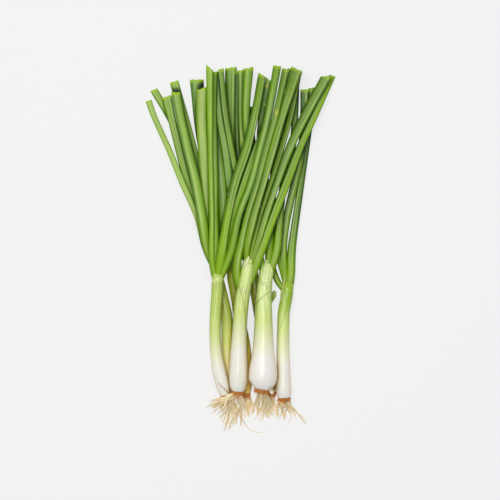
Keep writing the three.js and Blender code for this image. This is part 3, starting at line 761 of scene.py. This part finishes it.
def leaf_section(spec, run, draw):
    """The section's outline on each row: u across from -1 to 1 and v up, with the crease pressed in."""
    angle = ring_angles(LEAF_RING, FROM_BELOW)
    u = np.cos(angle) * np.ones((len(run), 1))
    v = np.sin(angle) * np.ones((len(run), 1))
    top = ramp(-0.1, 0.3, v)
    turn = phase(draw)
    ridges = 0.04 * np.cos(3 * angle + turn + run[:, None] * 0.012)
    ridges = ridges + 0.015 * np.cos(9 * angle + turn * 3 + run[:, None] * 0.004)
    u, v = u * (1 + ridges), v * (1 + ridges)
    if spec.fold is not None:
        depth = 0.42 * ramp(25, 70, run)[:, None] * (0.8 + 0.2 * np.sin(run * 0.05 + turn))[:, None]
        v = v - depth * np.exp(-(((u - spec.fold) / 0.2) ** 2)) * top
    return u, v, top


def add_leaf(shape, knots, spec, seed, owner):
    """A ridged blade along its strand, open at its cut end."""
    draw = seeded_draw(seed)
    full = bool(spec.across)
    rows, run = fine_strand(knots, LEAF_ROWS if full else STUB_ROWS)
    length = run[-1]
    if full:
        rows[:, 3] *= 1 + spec.swell * (1 - ramp(18, 60, run))
    side, ahead = sides_of(rows)
    u, v, top = leaf_section(spec, run, draw)
    pinch = TIP_PINCH * ramp(length - 22, length, run)
    half = rows[:, 3] * (LEAF_FULLNESS + 0.35 * pinch + 0.03 * np.sin(run * 0.08 + phase(draw)))
    thick = rows[:, 4] * (1 - pinch)
    if spec.tone == "stub":
        blunt = np.sqrt(1 - 0.75 * ramp(length - 3.5, length, run))
        half, thick = half * blunt, thick * blunt
    around = np.arange(LEAF_RING)
    jag = 0.3 * np.sin(around * 0.8 + phase(draw)) + 0.2 * np.sin(around * 2.1)
    at_tip = ramp(length - 3, length, run)[:, None]

    def place(at, wall):
        across = u[at] * (half[at, None] - wall)
        up = v[at] * np.maximum(0.15, thick[at, None] - wall)
        points = section_points(rows[at], side[at], across, rows[at, None, 2] + up)
        points[..., :2] += ahead[at, None] * ((spec.slant * across + jag) * at_tip[at])[..., None]
        return points

    every = np.arange(len(run))
    outer = place(every, 0)
    along = run[:, None] * np.ones_like(u)
    tint = leaf_tints(spec, along, length, u, top, draw)
    dark = LEAF_SHADE * shade_on(rows, side, owner, u) * (0.55 + 0.45 * ramp(6, 34, along))
    tint = shaded(tint, dark, SHADE_CAST)
    grain = np.stack([u * half[:, None], v * thick[:, None], along], axis=-1)
    grain += np.array([seed * 7.3, seed * 3.1, 0])
    inner_rows = every[run > length - (POCKET_DEPTH if full else STUB_POCKET)][::-1]
    inner = place(inner_rows, LEAF_WALL)
    # Painted shade: the inside of the open end darkens with depth
    deep = ramp(0, POCKET_DEPTH, length - run[inner_rows])[:, None] * np.ones((1, LEAF_RING))
    inner_tint = blend(INSIDE_GREEN, INSIDE_GREEN * 0.4, deep)
    inner_tint[0] = CUT_LIME
    points = np.concatenate([outer, inner])
    shape.rings(points, np.concatenate([tint, inner_tint]), np.concatenate([grain, grain[inner_rows]]))


# Shafts

BULB_WHITE = linear(248, 246, 236)
BULB_SIDE_SHADE = linear(236, 224, 196)
NECK_CREAM = linear(242, 243, 204)
SHEATH_LIME = linear(222, 236, 146)
SHEATH_SIDE_SHADE = linear(150, 182, 30)
VEIN_LIME = linear(146, 190, 30)
SHAFT_SHADE_CAST = np.array([0.5, 0.85, 1.8])
SHAFT_SHADE = 0.6
MOUTH_STEP = 0.22  # the thickness of the sheath's lip
LIP_DEPTH = 5
SHEATH_RIB = 0.05
CORE_RIB = 0.03
SKIN_RISE = 0.22


def shaft_tints(points, across, angle, run, plant, draw):
    """White at the bulb, cream and then lime above it, paler again with fine veins near the leaves, with
    painted shade on its sides.
    """
    y, white_at = points[..., 1], plant.white_at
    green = ramp(white_at - 2, white_at + 26, y)
    near_leaves = ramp(white_at + 24, white_at + 50, y)
    tint = blend(BULB_WHITE, NECK_CREAM, ramp(white_at - 14, white_at + 4, y))
    tint = blend(tint, SHEATH_LIME, green)
    tint = blend(tint, linear(*plant.top), 0.9 * near_leaves)
    # Painted shade: the shaft's sides go tan on the bulb and dark lime higher up
    edge = blend(BULB_SIDE_SHADE, SHEATH_SIDE_SHADE, ramp(white_at - 8, white_at + 34, y))
    tint = blend(tint, edge, 0.85 * ramp(0.55, 1, abs(across)))
    turn = phase(draw)
    wander = 0.5 * np.sin(run * 0.05 + turn)
    coarse = (0.5 + 0.5 * np.cos(19 * angle + turn + wander)) ** 3
    vein = coarse + (0.5 + 0.5 * np.cos(13 * angle - turn - wander)) ** 6
    tint = blend(tint, VEIN_LIME, np.clip(vein, 0, 1) * green * (0.14 + 0.2 * near_leaves))
    for colour, share, width, places in plant.marks:
        line = near_line(points, places, width) * (np.sin(angle) > 0)
        tint = blend(tint, linear(*colour), share * line)
    return tint * plant.cast


def shaft_points(rows, side, draw, rib):
    angle = ring_angles(SHAFT_RING, FROM_BELOW)
    turn = phase(draw)
    ribs = rib * (np.cos(11 * angle + turn) + 0.6 * np.cos(17 * angle + turn * 2))
    u = np.cos(angle) * (rows[:, 3:4] + ribs)
    v = np.sin(angle) * (rows[:, 4:5] + ribs)
    v = np.maximum(v, -rows[:, 2:3] + 0.02)
    return section_points(rows, side, u, rows[:, 2:3] + v), angle, u, v


def sheath_colours(rows, run, side, section, plant, seed, owner):
    draw = seeded_draw(seed + 500)
    points, angle, u, v = section
    angles = angle * np.ones_like(u)
    along = run[:, None] * np.ones_like(u)
    across = np.cos(angles)
    tint = shaft_tints(points, across, angles, along, plant, draw)
    tint = shaded(tint, SHAFT_SHADE * shade_on(rows, side, owner, across), SHAFT_SHADE_CAST)
    grain = np.stack([u, v, along], axis=-1) + np.array([seed * 5.7, seed * 2.9, 0])
    return tint, grain


def add_shaft(shape, axis, mouth, plant, seed, owner):
    """The bulb and the sheath up to its mouth, with a thin, uneven lip."""
    draw = seeded_draw(seed)
    rows, run = fine_strand(axis[: mouth + 1], SHAFT_ROWS)
    side, ahead = sides_of(rows)
    section = shaft_points(rows, side, draw, SHEATH_RIB)
    points, angle = section[:2]
    turn = phase(draw)
    lip_rise = 0.9 * np.sin(angle + turn) + 0.4 * np.sin(5 * angle + turn) + 0.25 * np.sin(11 * angle)
    rise = ramp(run[-1] - 8, run[-1], run)[:, None] * lip_rise
    points[..., :2] += ahead[:, None] * rise[..., None]
    tint, grain = sheath_colours(rows, run, side, section, plant, seed, owner)
    centre = rows[-1:, None, :3]
    lip = centre + (points[-1:] - centre) * (1 - MOUTH_STEP / rows[-1, 3])
    lip[..., :2] += ahead[-1] * 0.1
    inside = lip.copy()
    inside[..., :2] -= ahead[-1] * LIP_DEPTH
    # Painted shade: the lip a little darker and the inside of the mouth much darker
    tint = np.concatenate([tint, tint[-1:] * 0.95, tint[-1:] * 0.6])
    shape.rings(np.concatenate([points, lip, inside]), tint, np.concatenate([grain, grain[-1:], grain[-1:]]))


def add_core(shape, axis, mouth, plant, seed, owner):
    """The leaves' common stem: it turns into a flat tongue under them and ends round."""
    draw = seeded_draw(seed)
    knots = axis[mouth - 1 :].copy()
    knots[:2, 3:] -= MOUTH_STEP + 0.05
    rows, run = fine_strand(knots, CORE_ROWS, start=0.2)
    from_mouth = run - run_of(knots[:, :2])[1]
    free = from_mouth[-1]
    tongue = plant.tongue
    rows[:, 4] *= 1 - (0.62 - 0.4 * tongue) * ramp(0.1 * free, free, from_mouth)
    rows[:, 2] -= 0.25 * (1 - tongue) * rows[:, 3] * ramp(0.2 * free, free, from_mouth)
    rows[:, 3:] *= np.sqrt(1 - 0.98 * ramp(free - 4, free, from_mouth))[:, None]
    side, _ = sides_of(rows)
    section = shaft_points(rows, side, draw, CORE_RIB)
    tint, grain = sheath_colours(rows, run, side, section, plant, seed, owner)
    to_lime = ramp(mix(0.3, 0.9, tongue) * free, free, from_mouth)[:, None] * np.ones(SHAFT_RING)
    tint = blend(tint, FORK_LIME, 0.7 * to_lime)
    shape.rings(section[0], tint, grain)


def add_skin(shape, axis, places, widths, tint, seed):
    """A thin scrap of skin that lies on a shaft; places are in plan, widths along it."""
    draw = seeded_draw(seed)
    dense, _ = fine_strand(axis, 120)
    rows, run = fine_strand(knots_of([(x, y, w / 2) for (x, y), w in zip(places, widths)]), SKIN_ROWS)
    side, _ = sides_of(rows)
    angle = ring_angles(SKIN_RING)
    ragged = 1 + 0.12 * np.sin(run * 2.1 + phase(draw)) + 0.08 * np.sin(run * 4.7)
    u = np.cos(angle) * (rows[:, 3] * ragged)[:, None]
    xy = rows[:, None, :2] + side[:, None] * u[..., None]
    apart = np.linalg.norm(dense[:, :2] - xy[:, :, None], axis=-1)
    nearest = apart.argmin(axis=-1)
    off = np.minimum(apart.min(axis=-1) / dense[nearest, 3], 0.995)
    z = dense[nearest, 2] + dense[nearest, 4] * np.sqrt(1 - off**2) + SKIN_RISE
    z = z + 0.1 * np.sin(angle) + 0.08 * np.sin(run * 1.3 + phase(draw))[:, None]
    points = np.concatenate([xy, z[..., None]], axis=-1)
    tints = tint * (1 + 0.1 * np.sin(3 * angle + phase(draw)))[None, :, None] * np.ones((len(rows), 1, 1))
    grain = np.stack([u, u, run[:, None] * np.ones_like(u)], axis=-1) + seed
    shape.rings(points, tints, grain)


# Roots

ROOT_CREAM = linear(255, 238, 196)
ROOT_OCHRE = linear(230, 164, 84)
ROOT_FOOT = mix(ROOT_OCHRE, ROOT_CREAM, 0.3)
PLATE_BROWN = linear(206, 128, 54)
PLATE_DARK = linear(150, 88, 38)
THREADS_A_ROOT = 4
FRINGE_THREADS = 110
# Places on the root plate: how far out, and the share of the bulb's end in width
PLATE_PROFILE = [(-0.9, 0.74), (0.05, 0.9), (0.6, 0.93), (1.2, 0.9), (1.8, 0.82), (2.4, 0.7), (3.0, 0.5),
                 (3.4, 0.3)]


def add_thread(shape, knots, radius, foot, end, seed, wave):
    """A thin round root along the knots, gently wavy, down to a fine end; foot and end are its colours."""
    draw = seeded_draw(seed)
    rows, run = fine_strand(knots, ROOT_ROWS)
    part = run / run[-1]
    side, _ = sides_of(rows)
    sway = wave * np.sin(part * (4 + 4 * draw()) + phase(draw)) * ramp(0, 0.5, part)
    lift = 0.3 * wave * np.sin(part * (6 + 5 * draw()) + phase(draw)) * ramp(0, 0.35, part)
    size = radius * (1 - 0.7 * part**2)
    rows[:, :2] += side * sway[:, None]
    rows[:, 2] = np.maximum(rows[:, 2] + lift, size + 0.02)
    side, _ = sides_of(rows)
    angle = ring_angles(ROOT_RING)
    across = np.cos(angle) * size[:, None]
    up = np.sin(angle) * size[:, None]
    points = section_points(rows, side, across, rows[:, 2:3] + up)
    tint = blend(foot, end, ramp(0, 0.22, part[:, None] * np.ones(ROOT_RING)))
    grain = np.stack([across, up, run[:, None] * np.ones_like(up)], axis=-1) + seed * 1.7
    shape.rings(points, tint, grain)


def add_roots(shape, roots, seed):
    """Fine roots, a few along each of the solid's."""
    draw = seeded_draw(seed)
    for n, knots in enumerate(roots):
        for k in range(THREADS_A_ROOT):
            moved = knots.copy()
            moved[:, 0] += (draw() - 0.5) * 2.2 * np.linspace(0.5, 2.2, len(moved))
            moved[:, 1] += (draw() - 0.5) * 2.4 * np.linspace(0.1, 1.6, len(moved))
            moved[1:, 2] += (draw() - 0.3) * 0.8
            end = mix(ROOT_CREAM, ROOT_OCHRE, 0.4 * draw() ** 3)
            thick = 0.42 + 0.4 * draw() ** 1.3
            add_thread(shape, moved, thick, ROOT_FOOT, end, seed * 100 + n * 7 + k, 0.9)


def add_stray(shape, axis, places, radius, brown, seed):
    """A long root away from its tuft, on the surface or on what lies there; places are in plan."""
    knots = smooth_strand([(x, y, radius) for x, y in places], STRAY_STEPS)
    hang = axis[0, 2] * np.maximum(0, 1 - np.arange(STRAY_STEPS + 1) / 3) ** ROOT_SAG
    knots[:, 2] = np.maximum(heights_needed(knots, STRANDS[0], spread=1), hang)
    tints = (PLATE_BROWN, PLATE_BROWN) if brown else (ROOT_OCHRE, ROOT_CREAM)
    add_thread(shape, knots, radius, *tints, seed, 0.4)


def add_fringe(shape, axis, seed):
    """Short brown threads round the root plate's edge."""
    draw = seeded_draw(seed)
    base, out, side = root_end(axis)
    for n in range(FRINGE_THREADS):
        turn = draw() * math.pi * 2
        radius = base[3] * (0.72 + 0.24 * draw())
        far = -0.8 + 2.8 * draw()
        reach = 1.4 + 3.2 * draw() ** 2
        start = base[:2] + out * far + side * math.cos(turn) * radius
        swing = side * math.cos(turn) * 0.5 * draw() + out * (0.5 + draw())
        rows = []
        for i in range(3):
            xy = start + swing * (reach * i / 2) + side * (draw() - 0.5) * 0.8
            z = max(0.3, base[2] + math.sin(turn) * radius - 0.3 * i)
            rows.append([*xy, z, 0.2, 0.2])
        end = mix(PLATE_BROWN, ROOT_OCHRE, draw())
        thick = 0.2 + 0.16 * draw()
        foot = mix(PLATE_DARK, PLATE_BROWN, draw())
        add_thread(shape, np.array(rows), thick, foot, end, seed * 50 + n, 0.25)


def add_plate(shape, axis, seed):
    """The brown root plate: a short blunt cone under the bulb, with a rough edge."""
    draw = seeded_draw(seed)
    base, out, side = root_end(axis)
    angle = ring_angles(PLATE_RING)
    rough = 1 + 0.05 * np.sin(angle * 9 + phase(draw)) + 0.04 * np.sin(angle * 14 + phase(draw))
    rows = []
    for far, share in PLATE_PROFILE:
        radius = base[3] * share * rough * (1 + 0.14 * (draws(draw, PLATE_RING) - 0.5))
        jag = 0.8 * (draws(draw, PLATE_RING) - 0.5)
        xy = base[:2] + out * (far + PLATE_GAP + jag)[:, None] + side * (np.cos(angle) * radius)[:, None]
        rows.append(np.concatenate([xy, (base[2] + np.sin(angle) * radius)[:, None]], axis=1))
    points = np.array(rows)
    points[..., 2] = np.maximum(points[..., 2], 0.05)
    count = len(PLATE_PROFILE)
    tint = PLATE_BROWN * (0.6 + 0.6 * draws(draw, PLATE_RING * count).reshape(count, PLATE_RING, 1))
    along = np.linspace(0, 4, count)[:, None] * np.ones(PLATE_RING)
    grain = np.stack(np.broadcast_arrays(4 * np.cos(angle), 4 * np.sin(angle), along), axis=-1)
    shape.rings(points[::-1], tint, grain)


# Materials


def set_inputs(node, values):
    for name, value in values.items():
        node.inputs[name].default_value = value


def new_material(name, values):
    material = bpy.data.materials.new(name)
    material.use_nodes = True
    shader = material.node_tree.nodes["Principled BSDF"]
    set_inputs(shader, values)
    return material, material.node_tree, shader


def attribute_node(tree, name):
    node = tree.nodes.new("ShaderNodeAttribute")
    node.attribute_name = name
    return node


def grain_noise(tree, stretch, scale, detail, seed=0.0):
    """Noise in the grain's own space, drawn out along the piece."""
    mapping = tree.nodes.new("ShaderNodeMapping")
    set_inputs(mapping, {"Location": (seed, seed * 1.3, 0), "Scale": (1, 1, stretch)})
    noise = tree.nodes.new("ShaderNodeTexNoise")
    set_inputs(noise, {"Scale": scale, "Detail": detail})
    tree.links.new(attribute_node(tree, "grain").outputs["Vector"], mapping.inputs["Vector"])
    tree.links.new(mapping.outputs["Vector"], noise.inputs["Vector"])
    return noise.outputs["Fac"]


def ranged(tree, value, from_low, from_high, to_low, to_high):
    node = tree.nodes.new("ShaderNodeMapRange")
    set_inputs(node, {"From Min": from_low, "From Max": from_high, "To Min": to_low, "To Max": to_high})
    tree.links.new(value, node.inputs["Value"])
    return node.outputs["Result"]


def multiplied(tree, share, colour, cast):
    """The colour, partly multiplied by the cast."""
    node = tree.nodes.new("ShaderNodeMix")
    node.data_type = "RGBA"
    node.blend_type = "MULTIPLY"
    tree.links.new(share, node.inputs[0])
    tree.links.new(colour, node.inputs[6])
    node.inputs[7].default_value = (*cast, 1)
    return node.outputs[2]


def plant_material(name, layers, bump_strength, values, roughness=None):
    """A material over the points' own colours. Each layer has its noise (stretch, scale, detail, seed), the
    range of the noise that it shows in, its share and its cast. The first noise makes the bumps, and the last
    one the roughness where that varies."""
    material, tree, shader = new_material(name, values)
    colour = attribute_node(tree, "tint").outputs["Color"]
    noises = [grain_noise(tree, *layer[0]) for layer in layers]
    for noise, (_, low, high, share, cast) in zip(noises, layers):
        colour = multiplied(tree, ranged(tree, noise, low, high, 0.0, share), colour, cast)
    tree.links.new(colour, shader.inputs["Base Color"])
    if roughness:
        tree.links.new(ranged(tree, noises[-1], 0.3, 0.7, *roughness), shader.inputs["Roughness"])
    bump = tree.nodes.new("ShaderNodeBump")
    set_inputs(bump, {"Strength": bump_strength, "Distance": 0.2 * MM})
    tree.links.new(noises[0], bump.inputs["Height"])
    tree.links.new(bump.outputs["Normal"], shader.inputs["Normal"])
    return material


LEAF = plant_material(
    "leaf",
    [((0.03, 1.8, 3), 0.4, 0.7, 0.55, (0.62, 0.74, 0.35)),
     ((0.05, 0.4, 2, 9.0), 0.5, 0.75, 0.5, (1.3, 1.2, 0.9)),
     ((0.35, 0.16, 3, 31.0), 0.5, 0.72, 0.5, (0.85, 0.95, 1.25))],
    0.3,
    {"Specular IOR Level": 0.25, "Subsurface Weight": 0.06, "Subsurface Radius": (0.4, 1.0, 0.2),
     "Subsurface Scale": 1 * MM},
    (0.34, 0.48),
)
SHEATH = plant_material(
    "sheath",
    [((0.02, 1.3, 2), 0.45, 0.7, 0.5, (0.95, 0.97, 0.82)),
     ((0.3, 0.12, 3, 17.0), 0.45, 0.75, 0.3, (0.97, 0.96, 0.88))],
    0.2,
    {"Roughness": 0.3, "Subsurface Weight": 0.2, "Subsurface Radius": (1.0, 0.9, 0.5),
     "Subsurface Scale": 2 * MM, "Coat Weight": 0.25, "Coat Roughness": 0.15},
)
ROOT = plant_material(
    "root",
    [((0.6, 0.9, 3), 0.5, 0.75, 0.4, (0.94, 0.74, 0.44))],
    0.3,
    {"Roughness": 0.6, "Subsurface Weight": 0.15, "Subsurface Scale": 1 * MM},
)


# Where the solids lie in the frame


def shift_of_frame(laid):
    """How far the plan is moved, from where onion_5's shaft is in it and in the frame."""
    plant, axis, _, _ = laid[4]
    knots = axis[: len(plant.sheath)]
    reach = abs(sides_of(knots)[0]) * knots[:, 3:4]
    low = (knots[:, :2] - reach).min(axis=0)
    high = (knots[:, :2] + reach).max(axis=0)
    cad = np.array(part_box("onion_5_shaft"))[:, :2] / MM
    return np.array([*((cad[0] + cad[1] - low - high) / 2), 0.0])


bunch = lay_bunch()
SHIFT = shift_of_frame(bunch)
STRANDS = strands_of(bunch)


def make_plant(number, plant, axis, leaves, roots):
    """A plant's pieces: its leaves, its inner sheath, its shaft and its roots."""
    name = plant.name
    mouth = len(plant.sheath) - 1
    owner = number * OWNERS_A_PLANT
    grown = len(plant.leaves)

    blades = Shape()
    for k, (knots, spec) in enumerate(zip(leaves, plant.leaves)):
        add_leaf(blades, knots, spec, SEEDS["leaf"] + owner + k, owner + 1 + k)
    blades.build(name + "_leaves_fine", LEAF, name + "_leaves")

    core = Shape()
    add_core(core, axis, mouth, plant, SEEDS["shaft"] + number, owner)
    core.build(name + "_inner_sheath", SHEATH)

    shaft = Shape()
    add_shaft(shaft, axis, mouth, plant, SEEDS["shaft"] + number, owner)
    for k, (knots, spec) in enumerate(zip(leaves[grown:], plant.stubs)):
        add_leaf(shaft, knots, spec, SEEDS["stub"] + k, owner + 1 + grown + k)
    for k, (places, widths, tint) in enumerate(plant.skins):
        add_skin(shaft, axis, places, widths, linear(*tint), SEEDS["skin"] + owner + k)
    shaft.build(name + "_shaft_fine", SHEATH, name + "_shaft")

    tuft = Shape()
    add_plate(tuft, axis, SEEDS["plate"] + number)
    add_fringe(tuft, axis, SEEDS["fringe"] + number)
    add_roots(tuft, roots, SEEDS["roots"] + number)
    for k, (places, radius, brown) in enumerate(plant.strays):
        add_stray(tuft, axis, places, radius, brown, SEEDS["stray"] + owner + k)
    tuft.build(name + "_roots_fine", ROOT, name + "_roots")


for number, laid in enumerate(bunch):
    make_plant(number, *laid)


# The floor, the light and the camera

FLOOR_SIZE = 6.0
PHOTO_WIDTH = 450 * MM  # what 500 pixels of the picture cover at the bunch
PICTURE_CENTRE = (7.2 * MM, 0.0)  # the picture's middle in the plan
CAMERA_HEIGHT = 2.6
SENSOR = 36.0
LIGHT_PLACE = (-0.2, 0.35, 1.6)
LIGHT_SIZE = 1.2
LIGHT_POWER = 19.5
WORLD_STRENGTH = 0.315


def make_floor():
    bpy.ops.mesh.primitive_plane_add(size=FLOOR_SIZE, location=(0, 0, 0))
    floor = bpy.context.object
    floor.name = "floor"
    looks = {"Base Color": (0.2, 0.2, 0.2, 1), "Roughness": 0.9, "Emission Color": (1, 1, 1, 1),
             "Emission Strength": 0.7}
    floor.data.materials.append(new_material("floor", looks)[0])


def make_light():
    data = bpy.data.lights.new("overhead", "AREA")
    data.energy = LIGHT_POWER
    data.size = LIGHT_SIZE
    lamp = bpy.data.objects.new("overhead", data)
    lamp.location = LIGHT_PLACE
    lamp.rotation_euler = (-Vector(LIGHT_PLACE)).to_track_quat("-Z", "Y").to_euler()
    bpy.context.scene.collection.objects.link(lamp)


def make_world():
    world = bpy.data.worlds.new("studio")
    world.use_nodes = True
    set_inputs(world.node_tree.nodes["Background"], {"Color": (1, 1, 1, 1), "Strength": WORLD_STRENGTH})
    bpy.context.scene.world = world


def make_camera():
    """A camera that looks straight down."""
    data = bpy.data.cameras.new("camera")
    data.sensor_width = SENSOR
    data.lens = SENSOR * CAMERA_HEIGHT / PHOTO_WIDTH
    camera = bpy.data.objects.new("camera", data)
    centre = np.array(PICTURE_CENTRE) + SHIFT[:2] * MM
    camera.location = (*centre, CAMERA_HEIGHT)
    bpy.context.scene.collection.objects.link(camera)
    bpy.context.scene.camera = camera


make_floor()
make_light()
make_world()
make_camera()
bpy.context.scene.view_settings.view_transform = "Standard"
